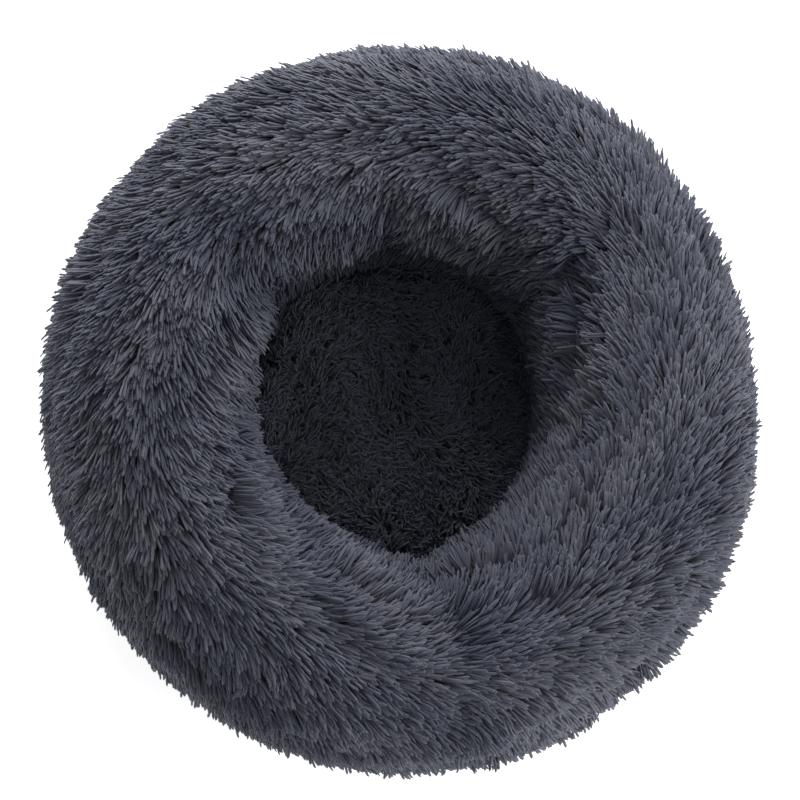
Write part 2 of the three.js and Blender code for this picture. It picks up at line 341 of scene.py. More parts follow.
def mesh_object(name, co, loops, counts):
    """An object from points, corner indices and corners per face."""
    mesh = bpy.data.meshes.new(name)
    mesh.vertices.add(len(co))
    mesh.vertices.foreach_set("co", co.astype(np.float32).ravel())
    mesh.loops.add(len(loops))
    mesh.loops.foreach_set("vertex_index", loops.astype(np.int32))
    mesh.polygons.add(len(counts))
    mesh.polygons.foreach_set("loop_start", (np.cumsum(counts) - counts).astype(np.int32))
    mesh.update(calc_edges=True)
    obj = bpy.data.objects.new(name, mesh)
    bpy.context.scene.collection.objects.link(obj)
    return obj


def repeated(name, obj, matrices):
    """One mesh that holds a copy of obj at each of these 4 by 4 matrices. obj itself is removed."""
    mesh = obj.data
    local = np.c_[points_of(mesh), np.ones(len(mesh.vertices))]
    loops = np.array([loop.vertex_index for loop in mesh.loops])
    counts = np.array([len(face.vertices) for face in mesh.polygons])
    every = np.einsum("nij,mj->nmi", matrices, local)[:, :, :3]
    starts = (np.arange(len(matrices)) * len(local))[:, None]
    loops = (loops[None] + starts).ravel()
    made = mesh_object(name, every.reshape(-1, 3), loops, np.tile(counts, len(matrices)))
    bpy.data.objects.remove(obj)
    return made


# ---------------------------------------------------------------- pile

LEVELS = np.array([0, 0.42, 0.93, 1.0])
WIDTHS = np.array([0.8, 1.0, 0.92, 0])


def even_points(count, seed):
    """Points that fill the unit square evenly without lying in rows."""
    golden = 1.32471795724474602596  # the plastic ratio
    start = np.random.default_rng(seed).random(2)
    return (start + np.arange(count)[:, None] * np.array([1 / golden, 1 / golden**2])) % 1


def ring_roots(count, start, end, density, seed):
    """phi and turn of roots spread over the ring between two turns, denser where density(turn) is higher."""
    turns = np.linspace(start, end, 400)
    line = ring_point(0 * turns + PLAIN_SPOT, turns, PILE_SET_BACK)
    step = np.linalg.norm(np.diff(line, axis=0), axis=1)
    radius = np.hypot(line[:, 0], line[:, 1])
    weight = step * (radius[1:] + radius[:-1]) * density((turns[1:] + turns[:-1]) / 2)
    share = np.concatenate([[0], np.cumsum(weight)]) / weight.sum()
    spots = even_points(count, seed)
    return spots[:, 0] * TURN, np.interp(spots[:, 1], share, turns)


def nearest(points, centres):
    """For each point the index of the closest centre."""
    tree = KDTree(len(centres))
    for i, centre in enumerate(centres):
        tree.insert(centre, i)
    tree.balance()
    return np.array([tree.find(point)[1] for point in points])


def comb_angle(phi, turn):
    """Which way the pile lies: 0 round the ring, a quarter turn outwards, minus that into the nest."""
    side = across(turn)
    angle = np.where(side > 0.1, 60 * np.tanh(2.2 * (side - 0.1)), -76 * np.tanh(2.6 * (0.1 - side)))
    start, end = PANELS["right"]
    along = ((phi - start) % TURN) / (end - start)
    right = along < 1
    angle = np.where(right & (side < 0.1), angle * (1 - 0.4 * np.clip(along * 2.2 - 0.2, 0, 1)), angle)
    angle = angle + right * 56 * np.exp(-((along / 0.75) ** 2)) * np.clip(side + 0.35, 0, 1)
    angle = angle + 20 * np.clip(side - 1, 0, 1) + 11 * waves(phi, turn * 2.2, 21, 7)
    angle = np.where(angle > 0, 78 * np.tanh(angle / 78), angle)
    return np.radians(angle + 9 * waves(phi, turn * 3, 22, 22))


def grow(place, normal, lie, tuft, pile, random):
    """The points of all locks, as locks by points by 3. lie is the direction in which a lock lies down."""
    count = len(place)
    side = np.cross(normal, lie)
    curl = pile["curl"][tuft] + random.normal(0, math.radians(9), count)
    root_lean = pile["root_lean"] + random.normal(0, math.radians(4), count)
    tip_lean = pile["tip_lean"] + pile["lift"][tuft] + random.normal(0, math.radians(3.5), count)
    centre, directions = [place], []
    for k in range(1, len(LEVELS)):
        middle = (LEVELS[k - 1] + LEVELS[k]) / 2
        lean = root_lean + (tip_lean - root_lean) * middle**0.7
        bend = curl * (middle - 0.3)
        flat = lie * np.cos(bend)[:, None] + side * np.sin(bend)[:, None]
        direction = normal * np.cos(lean)[:, None] + flat * np.sin(lean)[:, None]
        directions.append(direction)
        centre.append(centre[-1] + direction * (pile["length"] * (LEVELS[k] - LEVELS[k - 1]))[:, None])
    to_middle = pile["centres"][tuft] - place
    to_middle = to_middle - lie * (to_middle * lie).sum(-1, keepdims=True)
    points = np.empty((count, 3 * (len(LEVELS) - 1) + 1, 3))
    for k, level in enumerate(LEVELS):
        middle = centre[k] + to_middle * pile["gather"] * level**1.4
        if k == len(LEVELS) - 1:
            points[:, -1] = middle
            break
        across_lock = unit(np.cross(directions[k], normal))
        up = np.cross(across_lock, directions[k])
        wide = across_lock * (pile["width"] * WIDTHS[k] / 2)[:, None]
        high = up * (pile["width"] * pile["round"] * WIDTHS[k])[:, None]
        points[:, 3 * k] = middle - wide - high * 0.3
        points[:, 3 * k + 1] = middle + high * 0.7
        points[:, 3 * k + 2] = middle + wide - high * 0.3
    return points


def rest_on_floor(points):
    """Locks that would hang through the floor lie on it, and those over the zip are brushed clear of it."""
    angle = np.arctan2(points[..., 1], points[..., 0])
    height, reach = points[..., 2], 8 * MM
    ground = np.where(in_zip(angle, *ZIP_RANGE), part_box("zip_slider")[1].z + 1.5 * MM, 0.5 * MM)
    lifted = ground + reach * np.exp(np.minimum(height - ground - reach, 0) / reach)
    lifted = np.where(height < ground + reach, lifted, height)
    out = unit(points * np.array([1.0, 1.0, 0.0]))
    points = points + out * ((lifted - height) * 0.1)[..., None]
    points[..., 2] = lifted
    return points


def lock_mesh(name, points, strip):
    """One mesh of many locks, with a map that gives each lock the strip of its shade, from root to tip."""
    rings = len(LEVELS) - 1
    corners, counts, places = [], [], []
    for k in range(rings - 1):
        for j in range(3):
            a, b = 3 * k + j, 3 * k + (j + 1) % 3
            corners += [a, b, b + 3, a + 3]
            counts.append(4)
            low, high = LEVELS[k], LEVELS[k + 1]
            places += [(j, low), (j + 1, low), (j + 1, high), (j, high)]
    for j in range(3):
        corners += [3 * rings - 3 + j, 3 * rings - 3 + (j + 1) % 3, 3 * rings]
        counts.append(3)
        places += [(j, LEVELS[-2]), (j + 1, LEVELS[-2]), (j + 0.5, 1)]
    corners += [2, 1, 0]
    counts.append(3)
    places += [(0, 0.01), (1.5, 0), (3, 0.01)]
    total, each = len(points), points.shape[1]
    loops = np.array(corners)[None] + (np.arange(total) * each)[:, None]
    obj = mesh_object(name, points.reshape(-1, 3), loops.ravel(), np.tile(counts, total))
    places = np.array(places)
    spot = np.empty((total, len(places), 2))
    spot[:, :, 0] = (strip[:, None] + 0.06 + 0.88 / 3 * places[None, :, 0]) / STRIPS
    spot[:, :, 1] = 0.02 + 0.96 * places[None, :, 1]
    obj.data.uv_layers.new(name="OFBake").uv.foreach_set("vector", spot.astype(np.float32).ravel())
    return obj


def shades(hills, random):
    """The strip of each lock: mostly by how light the pile is around it, partly by chance."""
    tone = 0.5 + 0.2 * hills + random.normal(0, 0.16, len(hills))
    return np.clip(tone * STRIPS, 0, STRIPS - 1).astype(int)


# ---------------------------------------------------------------- materials


def new_node(tree, kind, inputs=None, **settings):
    """A shader node with these settings, whose inputs are plain values or sockets."""
    node = tree.nodes.new(f"ShaderNode{kind}")
    for name, setting in settings.items():
        setattr(node, name, setting)
    for label, value in (inputs or {}).items():
        if isinstance(value, bpy.types.NodeSocket):
            tree.links.new(value, node.inputs[label])
        else:
            node.inputs[label].default_value = value
    return node


def math_node(tree, operation, *values):
    """The result of a math node on sockets or plain numbers."""
    return new_node(tree, "Math", dict(enumerate(values)), operation=operation).outputs[0]


def ranged(tree, value, old, new, **settings):
    """value moved from the range old to the range new."""
    ends = dict(zip(("From Min", "From Max", "To Min", "To Max"), (*old, *new)))
    return new_node(tree, "MapRange", {"Value": value, **ends}, **settings).outputs[0]


def mixed(tree, factor, a, b):
    """Colour a at factor 0 and b at 1, each a socket or red, green and blue."""
    a, b = (c if isinstance(c, bpy.types.NodeSocket) else (*c, 1) for c in (a, b))
    return new_node(tree, "Mix", {"Factor": factor, 6: a, 7: b}, data_type="RGBA").outputs[2]


def pile_group():
    """Shade of a lock from its place on the map: dark at the root as painted shade, light at the tip,
    streaked by hairs.
    """
    tree = bpy.data.node_groups.new("Pile shade", "ShaderNodeTree")
    for label, kind in (("Dark", "Color"), ("Light", "Color"), ("Root", "Color"), ("Streaks", "Float")):
        tree.interface.new_socket(label, in_out="INPUT", socket_type=f"NodeSocket{kind}")
    tree.interface.new_socket("Color", in_out="OUTPUT", socket_type="NodeSocketColor")
    given, made = tree.nodes.new("NodeGroupInput"), tree.nodes.new("NodeGroupOutput")
    place = new_node(tree, "UVMap", uv_map="OFBake")
    split = new_node(tree, "SeparateXYZ", {0: place.outputs[0]})
    strip = math_node(tree, "FLOOR", math_node(tree, "MULTIPLY", split.outputs[0], STRIPS))
    tone = ranged(tree, strip, (0, STRIPS - 1), (0, 1))
    hairs = math_node(tree, "MULTIPLY", split.outputs[0], STRIPS * HAIRS)
    hair = new_node(tree, "CombineXYZ", {0: hairs, 1: math_node(tree, "MULTIPLY", split.outputs[1], 2.5)})
    streak = new_node(
        tree, "TexNoise", {"Vector": hair.outputs[0], "Scale": 1.0, "Detail": 2.0}, noise_dimensions="2D"
    )
    body = mixed(tree, tone, given.outputs["Dark"], given.outputs["Light"])
    # Painted shade: each lock darkens towards its root, where the pile shades itself.
    rise = ranged(tree, split.outputs[1], (0.12, 0.8), (0, 1), interpolation_type="SMOOTHSTEP")
    full = mixed(tree, rise, given.outputs["Root"], body)
    unevenness = ranged(tree, streak.outputs[0], (0.25, 0.75), (-1, 1))
    swing = math_node(tree, "MULTIPLY", unevenness, given.outputs["Streaks"])
    tip = ranged(tree, split.outputs[1], (0.75, 1.0), (1.0, 1.08))
    gain = math_node(tree, "MULTIPLY", math_node(tree, "ADD", swing, 1.0), tip)
    scaled = new_node(tree, "VectorMath", {0: full, "Scale": gain}, operation="SCALE")
    tree.links.new(scaled.outputs[0], made.inputs["Color"])
    return tree


def new_material(name, roughness, metallic=0.0, specular=0.5, sheen=0.0):
    """A material with its node tree and its shader."""
    material = bpy.data.materials.new(name)
    material.use_nodes = True
    shader = material.node_tree.nodes["Principled BSDF"]
    for label, value in (
        ("Roughness", roughness),
        ("Metallic", metallic),
        ("Specular IOR Level", specular),
        ("Sheen Weight", sheen),
        ("Sheen Roughness", 0.4),
    ):
        shader.inputs[label].default_value = value
    return material, material.node_tree, shader


def pile_material(name, root, dark, light, streaks=0.2):
    """Pile whose locks run from the dark to the light colour, over the root's colour, which is painted shade.
    """
    material, tree, shader = new_material(name, 0.65, specular=0.2, sheen=0.08)
    shade = new_node(tree, "Group", node_tree=bpy.data.node_groups.get("Pile shade") or pile_group())
    for label, colour in (("Dark", dark), ("Light", light), ("Root", root)):
        shade.inputs[label].default_value = (*colour, 1)
    shade.inputs["Streaks"].default_value = streaks
    tree.links.new(shade.outputs["Color"], shader.inputs["Base Color"])
    return material


def clouds(tree, scale, detail=2.0):
    """Soft random patches fixed to the piece, as a value."""
    place = new_node(tree, "TexCoord").outputs["Object"]
    return new_node(tree, "TexNoise", {"Vector": place, "Scale": scale, "Detail": detail}).outputs[0]


def times(colour, factor):
    """A colour made lighter or darker."""
    return [min(c * factor, 1) for c in colour]


def plain_cloth(name, colour, scale, depth=0.15 * MM):
    """Plain weave with this many threads in a metre, which rise and sink, painted lighter where they rise and
    darker where they sink as painted shade, and slightly uneven in colour.
    """
    material, tree, shader = new_material(name, 0.85, specular=0.25, sheen=0.15)
    split = new_node(tree, "SeparateXYZ", {0: new_node(tree, "TexCoord").outputs["Object"]})
    threads = [
        math_node(tree, "SINE", math_node(tree, "MULTIPLY", split.outputs[axis], scale * TURN))
        for axis in (0, 1, 2)
    ]
    weave = math_node(tree, "MULTIPLY", threads[0], threads[1])
    weave = math_node(tree, "ADD", weave, math_node(tree, "MULTIPLY", threads[2], 0.4))
    uneven = math_node(tree, "MULTIPLY", clouds(tree, 60.0), 0.4)
    # Painted shade: the threads are painted darker where they sink and lighter where they rise; the clouds
    # add uneven colour.
    factor = math_node(tree, "ADD", ranged(tree, weave, (-1.4, 1.4), (0, 0.7)), uneven)
    tree.links.new(mixed(tree, factor, times(colour, 0.6), times(colour, 1.35)), shader.inputs["Base Color"])
    bump = new_node(tree, "Bump", {"Strength": 0.6, "Distance": depth, "Height": weave})
    tree.links.new(bump.outputs[0], shader.inputs["Normal"])
    return material


def fibre_material(name, colour):
    """Loose white fibre: cloudy, matt and a little uneven."""
    material, tree, shader = new_material(name, 0.95, specular=0.15, sheen=0.4)
    patches = clouds(tree, 45.0, detail=6.0)
    tree.links.new(mixed(tree, patches, times(colour, 0.8), colour), shader.inputs["Base Color"])
    return material


def metal_material(name, colour, roughness):
    """Plated zinc, slightly uneven in colour and shine."""
    material, tree, shader = new_material(name, roughness, metallic=1.0)
    patches = clouds(tree, 700.0)
    tree.links.new(mixed(tree, patches, times(colour, 0.85), times(colour, 1.1)), shader.inputs["Base Color"])
    shine = ranged(tree, patches, (0.3, 0.7), (roughness * 0.8, roughness * 1.25))
    tree.links.new(shine, shader.inputs["Roughness"])
    return material


def plastic_material(name, colour, roughness):
    """Moulded or spun plastic, slightly uneven in colour."""
    material, tree, shader = new_material(name, roughness)
    patches = clouds(tree, 300.0)
    tree.links.new(mixed(tree, patches, times(colour, 0.8), times(colour, 1.2)), shader.inputs["Base Color"])
    return material


# ---------------------------------------------------------------- fur ring


def lower_edge(phi, start, end, over_zip):
    """The turn at which the fur starts: at the base seam, or above the zip between its start and end."""
    turns = np.linspace(-1.3, 0, 300)
    heights = ring_point(np.full(300, (start + end) / 2), turns, PILE_SET_BACK)[:, 2]
    return np.where(in_zip(phi, start, end), turns[np.searchsorted(heights, over_zip)], FOOT_TURN)


UPPER_EDGE = math.pi + math.asin(0.4)  # where the fur ends, as a turn: under the bulge on the nest side
PILE_AREA = 0.682  # cloth under the ring's pile, in square metres


class PLUSH_OT_ring_backing(Operator):
    """Makes the backing cloth of the three fur panels, tight over the stuffing and pinched at the seams"""

    bl_idname = "plush.ring_backing"
    bl_label = "Ring backing"
    bl_options = {"REGISTER", "UNDO"}

    def execute(self, context):
        cloth = plain_cloth("Fur backing", (0.012, 0.013, 0.018), scale=500)
        for name, (start, end) in PANELS.items():

            def place(u, v, start=start, end=end):
                phi = start + 0.002 + u * (end - start - 0.004)
                first = lower_edge(phi, TAPE_RANGE[0] + 0.015, TAPE_RANGE[1] - 0.015, ZIP_TOP - 2 * MM)
                return ring_point(phi, first + v * (UPPER_EDGE - first), PILE_SET_BACK + 0.8 * MM)

            columns = int((end - start) * (110 if name == "back" else 40))
            obj = cloth_patch(columns, 48, place, 1.4 * MM)
            finish_piece(obj, f"ring_backing_{name}", cloth)
            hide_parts(f"ring_fur_{name}")
        return {"FINISHED"}


class PLUSH_OT_ring_pile(Operator):
    """Grows the long pile of the ring, combed round the bed and falling to both sides of the crown"""

    bl_idname = "plush.ring_pile"
    bl_label = "Ring pile"
    bl_options = {"REGISTER", "UNDO"}

    def execute(self, context):
        s = context.scene.plush_pile
        random = np.random.default_rng(5)
        # The first colour is painted shade at the roots of the locks.
        fur = pile_material("Long pile", (0.009, 0.010, 0.016), (0.052, 0.058, 0.089), (0.127, 0.131, 0.159))
        first, last = FOOT_TURN, UPPER_EDGE

        def density(turn):
            return np.where(across(turn) > 1.25, 0.55, 1.0)

        phi, turn = ring_roots(s.locks, first, last, density, 11)
        keep = turn > lower_edge(phi, *ZIP_RANGE, ZIP_TOP + 1.5 * MM)
        phi, turn = phi[keep], turn[keep]
        place, normal, around, outwards = ring_frame(phi, turn, PILE_SET_BACK)
        tufts = int(PILE_AREA / s.clump**2)
        centre_phi, centre_turn = ring_roots(tufts, first, last, density, 12)
        centres = ring_point(centre_phi, centre_turn, PILE_SET_BACK)
        tuft = nearest(place, centres)
        count, side = len(phi), across(turn)
        angle = comb_angle(phi, turn) + random.normal(0, math.radians(8), tufts)[tuft]
        angle = angle + random.normal(0, math.radians(5), count)
        lie = around * np.cos(angle)[:, None] + outwards * np.sin(angle)[:, None]
        hills = waves(phi, turn * 2.4, 41, 9)
        zip_near = in_zip(phi, *ZIP_RANGE) & (side > 1.3)
        length = s.length * (1 + 0.05 * random.normal(size=tufts)[tuft]) * random.normal(1, 0.06, count)
        length = length * (1 - 0.25 * np.clip(-side - 0.7, 0, 1)) * np.where(zip_near, 0.5, 1)
        length = length * (1 - 0.55 * np.clip((side - 1.15) / 0.5, 0, 1))
        pile = {
            "length": length,
            "width": s.width * random.uniform(0.78, 1.2, count),
            "round": random.uniform(0.32, 0.5, count),
            "root_lean": s.root_lean + math.radians(25) * np.clip((side - 1) / 0.5, 0, 1),
            "tip_lean": s.tip_lean,
            "lift": random.normal(0, math.radians(3.5), tufts),
            "curl": random.normal(0, math.radians(19), tufts),
            "centres": centres,
            "gather": s.gather,
        }
        points = rest_on_floor(grow(place, normal, lie, tuft, pile, random))
        # Painted shade: the pile is painted darker on the side away from the lamps.
        hills = hills - 0.7 * np.clip(np.cos(phi - PAINTED_SHADE_SIDE), 0, 1)
        # Painted shade: the pile on the nest side below the lip is painted darker, for the shade in the
        # nest's hollow.
        hills = hills - 1.8 * np.clip((-side - 0.85) / 0.25, 0, 1)
        # Painted shade: the pile is painted darker along the seams, where it parts, and in the creases; it is
        # also lighter towards the outside of the ring.
        painted_seam_shade = np.exp(-((from_seam(phi) / 9) ** 2)) * np.clip(0.8 - side, 0, 1)
        hills = hills + 0.7 * np.clip(side, -0.3, 0.8) - 1.2 * painted_seam_shade - 0.14 * creases(phi, side)
        strip = shades(hills, random)
        for name, (start, end) in PANELS.items():
            parts = round((end - start) / math.radians(33))
            spot = ((phi - start) % TURN) / (end - start) * parts
            for part in range(parts):
                chosen = (spot >= part) & (spot < part + 1)
                obj = lock_mesh(f"ring_pile_{name}_{part + 1}", points[chosen], strip[chosen])
                finish_piece(obj, obj.name, fur)
        return {"FINISHED"}


# ---------------------------------------------------------------- nest


def pad_height(x, y):
    """Height of the nest pad's cloth: a shallow pillow with soft dents."""
    radius = np.hypot(x, y) / (INNER + 4 * MM)
    low = FLOOR_RIM - 14 * MM
    dents = 2.2 * MM * waves(x * 28, y * 28, 61, 3)
    return low + 6 * MM * (1 - np.clip(radius, 0, 1) ** 2) + dents


def pad_points(count, reach, seed):
    """Points spread evenly over the pad's cloth."""
    spots = even_points(count, seed)
    radius, phi = reach * np.sqrt(spots[:, 0]), spots[:, 1] * TURN
    x, y = radius * np.cos(phi), radius * np.sin(phi)
    return np.stack([x, y, pad_height(x, y)], -1)


class PLUSH_OT_nest(Operator):
    """Makes the nest floor: a stuffed round of fur with shorter, tangled pile"""

    bl_idname = "plush.nest"
    bl_label = "Nest floor"
    bl_options = {"REGISTER", "UNDO"}

    def execute(self, context):
        s = context.scene.plush_nest
        random = np.random.default_rng(15)
        backing = bpy.data.materials["Fur backing"]
        reach = INNER + 8 * MM
        pad = cloth_patch(48, 48, disc_place(reach, pad_height), 1.4 * MM)
        finish_piece(pad, "nest_backing", backing)
        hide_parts("nest_fur")
        places, centres = pad_points(s.locks, reach, 16), pad_points(s.locks // 5, reach, 17)
        x, y = places[:, 0], places[:, 1]
        normal = np.tile([0.0, 0.0, 1.0], (s.locks, 1))
        tuft = nearest(places, centres)
        swirl = 2.2 * waves(x * 26, y * 26, 18, 3) + random.normal(0, 0.55, len(centres))[tuft]
        swirl = swirl + random.normal(0, 0.4, s.locks)
        lie = np.stack([np.cos(swirl), np.sin(swirl), 0 * swirl], -1)
        pile = {
            "length": s.length * random.normal(1, 0.14, s.locks),
            "width": s.width * random.uniform(0.75, 1.2, s.locks),
            "round": random.uniform(0.45, 0.65, s.locks),
            "root_lean": math.radians(30),
            "tip_lean": math.radians(82),
            "lift": random.normal(0, math.radians(10), len(centres)),
            "curl": random.normal(0, math.radians(55), len(centres)),
            "centres": centres,
            "gather": 0.4,
        }
        points = grow(places, normal, lie, tuft, pile, random)
        # The nest pile's colours are darker than the ring's: partly the pile's own colour, partly painted
        # shade for the nest's hollow; the first colour is painted shade at the roots.
        fur = pile_material("Nest pile", (0.008, 0.009, 0.016), (0.028, 0.032, 0.055), (0.080, 0.083, 0.110))
        # Painted shade: the nest pile is painted darker towards +x, the side that the ring's wall shades from
        # the lamps.
        obj = lock_mesh("nest_pile", points, shades(1.5 * waves(x * 22, y * 22, 19, 3) - 8 * x, random))
        finish_piece(obj, "nest_pile", fur)
        return {"FINISHED"}


# ---------------------------------------------------------------- inner cloth and stuffing


def band_place(radius, low, high, ripple, folds, seed):
    """place(u, v) of an upright band of cloth with soft upright folds."""

    def place(u, v):
        phi = u * TURN
        r = radius(v) + ripple * waves(phi, v * 1.5, seed, folds) * np.sin(v * math.pi)
        return polar(r, phi, low + v * (high - low))

    return place


def liner_place(first, last, inset, seed):
    """place(u, v) of a part of the ring's inner bag, puckered all over by the stuffing behind it."""

    def place(u, v):
        phi, turn = u * TURN, first + v * (last - first)
        smooth, normal, _, _ = ring_frame(phi, turn, inset)
        pucker = 1.1 * MM * waves(phi, turn * 4, seed, 34) + 0.8 * MM * waves(phi, turn * 9, seed + 1, 70)
        return smooth + normal * pucker[:, None]

    return place


class PLUSH_OT_stuffing(Operator):
    """Makes the loose fibre stuffing of the ring and of the nest pad"""

    bl_idname = "plush.stuffing"
    bl_label = "Stuffing"
    bl_options = {"REGISTER", "UNDO"}

    def execute(self, context):
        fibre = fibre_material("Hollow fibre", (0.78, 0.77, 0.74))
        obj = cloth_patch(200, 60, liner_place(0, TURN, STUFFING_SET_BACK, 51), 0, closed=True)
        finish_piece(obj, "ring_stuffing", fibre)
        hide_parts("ring_fill")
        low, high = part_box("pad_fill")
        middle, half, reach = (low.z + high.z) / 2, (high.z - low.z) / 2, high.x

        def place(u, v):
            phi, turn = u * TURN, (v - 0.5) * math.pi
            lump = 1 + 0.03 * waves(phi, turn * 3, 53, 6) * np.cos(turn)
            r = (reach - 2 * MM) * np.abs(np.cos(turn)) ** 0.6 * np.minimum(lump, 1)
            z = middle + (half - 1 * MM) * np.sign(turn) * np.abs(np.sin(turn)) ** 0.8
            z = z + 1.2 * MM * waves(r * np.cos(phi) * 60, r * np.sin(phi) * 60, 54, 3) * np.cos(turn) ** 0.5
            return polar(r, phi, z)

        obj = cloth_patch(96, 48, place, 0, closed=True)
        finish_piece(obj, "pad_stuffing", fibre)
        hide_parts("pad_fill")
        return {"FINISHED"}


class PLUSH_OT_linings(Operator):
    """Makes the inner bags of the ring and of the nest pad from thin nonwoven cloth"""

    bl_idname = "plush.linings"
    bl_label = "Linings"
    bl_options = {"REGISTER", "UNDO"}

    def execute(self, context):
        nonwoven = plain_cloth("Nonwoven lining", (0.6, 0.6, 0.58), scale=420, depth=0.08 * MM)
        hem = 0.012
        for name, first in (("upper", 0.0), ("lower", -math.pi)):
            half = liner_place(first + hem, first + math.pi - hem, LINING_SET_BACK, 55)
            obj = cloth_patch(220, 32, half, 0.8 * MM, closed=True)
            finish_piece(obj, f"ring_lining_{name}", nonwoven)
            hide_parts(f"ring_liner_{name}")
        low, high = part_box("pad_liner")
        reach = high.x - 0.8 * MM

        def place(u, v):
            phi, way = u * TURN, v * (reach + high.z - low.z)
            wall = np.clip(way - reach, 0, 1)
            r = np.minimum(way, reach) - 1.0 * MM * (1 + waves(phi, wall * 30, 57, 26)) * (way > reach)
            r = r * (1 - 0.03 * np.clip(1 - np.abs(way - reach) / (12 * MM), 0, 1))
            return polar(r, phi, low.z + 0.6 * MM + wall * 0.98)

        obj = cloth_patch(120, 40, place, 0.8 * MM, closed=True)
        finish_piece(obj, "pad_lining", nonwoven)
        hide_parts("pad_liner")
        return {"FINISHED"}


def stitches(name, places, ways, material, length=2.6 * MM, thick=0.5 * MM):
    """A row of sewn stitches: short rounded threads at these points, each lying along its own direction."""
    deselect()
    bpy.ops.mesh.primitive_uv_sphere_add(segments=5, ring_count=4, radius=0.5)
    matrices = []
    for place, way in zip(places, ways):
        turned = Vector(way).to_track_quat("X", "Z").to_matrix().to_4x4()
        size = Matrix.Diagonal((length, thick, thick, 1))
        matrices.append(np.array(Matrix.Translation(Vector(place)) @ turned @ size))
    obj = repeated(name, bpy.context.object, np.array(matrices))
    return finish_piece(obj, name, material)


def stitch_ring(name, radius, height, material, start=0.0, end=TURN, pitch=3.4 * MM):
    """Stitches along an arc at one radius and height."""
    count = int(radius * (end - start) / pitch)
    phi = np.linspace(start, end, count, endpoint=False)
    ways = np.stack([-np.sin(phi), np.cos(phi), 0 * phi], -1)
    return stitches(name, polar(radius, phi, height + 0 * phi), ways, material)


class PLUSH_OT_inner_seams(Operator):
    """Makes the wall under the nest and the tapes that hold the ring, the nest and the base together"""

    bl_idname = "plush.inner_seams"
    bl_label = "Inner seams"
    bl_options = {"REGISTER", "UNDO"}

    def execute(self, context):
        cloth = plain_cloth("Lining cloth", (0.02, 0.021, 0.025), scale=700)
        tape = plain_cloth("Binding tape", (0.016, 0.017, 0.02), scale=1100)
        low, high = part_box("wall_cloth")
        floor = FLOOR_RIM - 16 * MM
        radius = high.x + 0.4 * MM
        wall = band_place(lambda v: radius + 0 * v, low.z + 0.8 * MM, floor, 1.1 * MM, 30, 71)
        obj = cloth_patch(300, 8, wall, 0.8 * MM, closed=True)
        finish_piece(obj, "nest_wall", cloth)
        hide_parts("wall_cloth")
        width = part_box("nest_binding")[1].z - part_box("nest_binding")[0].z
        top = FLOOR_RIM - 9 * MM
        band = band_place(lambda v: radius + (2.6 + 2 * v) * MM, top - width, top, 0.3 * MM, 40, 72)
        obj = cloth_patch(300, 4, band, 0.9 * MM, closed=True)
        finish_piece(obj, "nest_tape", tape)
        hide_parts("nest_binding")
        low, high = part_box("base_binding")
        outer = high.x

        def place(u, v):
            phi, r = u * TURN, outer - width + v * width
            z = low.z + 0.7 * MM + 0.25 * MM * (1 + waves(phi, v * 2, 73, 50)) * np.sin(v * math.pi)
            return polar(r, phi, z)

        obj = cloth_patch(300, 4, place, 0.7 * MM, closed=True)
        finish_piece(obj, "base_tape", tape)
        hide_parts("base_binding")
        thread = plastic_material("Sewing thread", (0.03, 0.032, 0.04), 0.5)
        for i, r in enumerate((outer - 1.8 * MM, outer - width + 1.8 * MM)):
            stitch_ring(f"base_tape_stitches_{i + 1}", r, low.z + 1.35 * MM, thread)
        return {"FINISHED"}


# ---------------------------------------------------------------- base


class PLUSH_OT_base(Operator):
    """Makes the base: a round of woven cloth with rows of grip dots underneath"""

    bl_idname = "plush.base"
    bl_label = "Base"
    bl_options = {"REGISTER", "UNDO"}

    def execute(self, context):
        s = context.scene.plush_base
        low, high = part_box("base_cloth")
        reach = high.x - 1.5 * MM

        def height(x, y):
            r = np.hypot(x, y)
            rim = np.clip((r - (reach - 9 * MM)) / (9 * MM), 0, 1)
            sag = 0.12 * MM * waves(x * 50, y * 50, 81, 3) * (1 - rim)
            return low.z + 1.2 * MM + sag + 5.5 * MM * rim**2

        cloth = plain_cloth("Base cloth", (0.026, 0.028, 0.034), scale=600)
        obj = cloth_patch(70, 70, disc_place(reach, height), 0.8 * MM)
        finish_piece(obj, "base_sheet", cloth)
        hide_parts("base_cloth")
        deselect()
        bpy.ops.mesh.primitive_uv_sphere_add(segments=10, ring_count=4, radius=0.5)
        dot = bpy.context.object
        step = s.dot_spacing
        rows = int(reach / (step * math.sqrt(3) / 2)) + 1
        matrices = []
        for row in range(-rows, rows + 1):
            for column in range(-rows - 2, rows + 3):
                x, y = (column + 0.5 * (row % 2)) * step, row * step * math.sqrt(3) / 2
                if math.hypot(x, y) < reach - 14 * MM:
                    place = Matrix.Translation((x, y, low.z + 0.65 * MM))
                    matrices.append(np.array(place @ Matrix.Diagonal((s.dot_size, s.dot_size, 1.3 * MM, 1))))
        dots = repeated("grip_dots", dot, np.array(matrices))
        finish_piece(dots, "grip_dots", plastic_material("Grip rubber", (0.012, 0.012, 0.014), 0.45))
        return {"FINISHED"}


# ---------------------------------------------------------------- zip


def local_box(node, angle):
    """The node's box after the bed is turned back by this angle, so that it points along +X."""
    co = vertices_of(node)
    x = co[:, 0] * math.cos(angle) + co[:, 1] * math.sin(angle)
    y = co[:, 1] * math.cos(angle) - co[:, 0] * math.sin(angle)
    return [(float(v.min()), float(v.max())) for v in (x, y, co[:, 2])]


def block(x, y, z, bevel=0.0):
    """A box between these pairs of bounds, with rounded edges."""
    deselect()
    bpy.ops.mesh.primitive_cube_add(size=1, location=[(a + b) / 2 for a, b in (x, y, z)])
    obj = bpy.context.object
    obj.dimensions = [b - a for a, b in (x, y, z)]
    bpy.ops.object.transform_apply(location=True, rotation=True, scale=True)
    if bevel:
        modifier = obj.modifiers.new("Round", "BEVEL")
        modifier.width, modifier.segments = bevel, 3
        apply_modifiers(obj)
    return obj


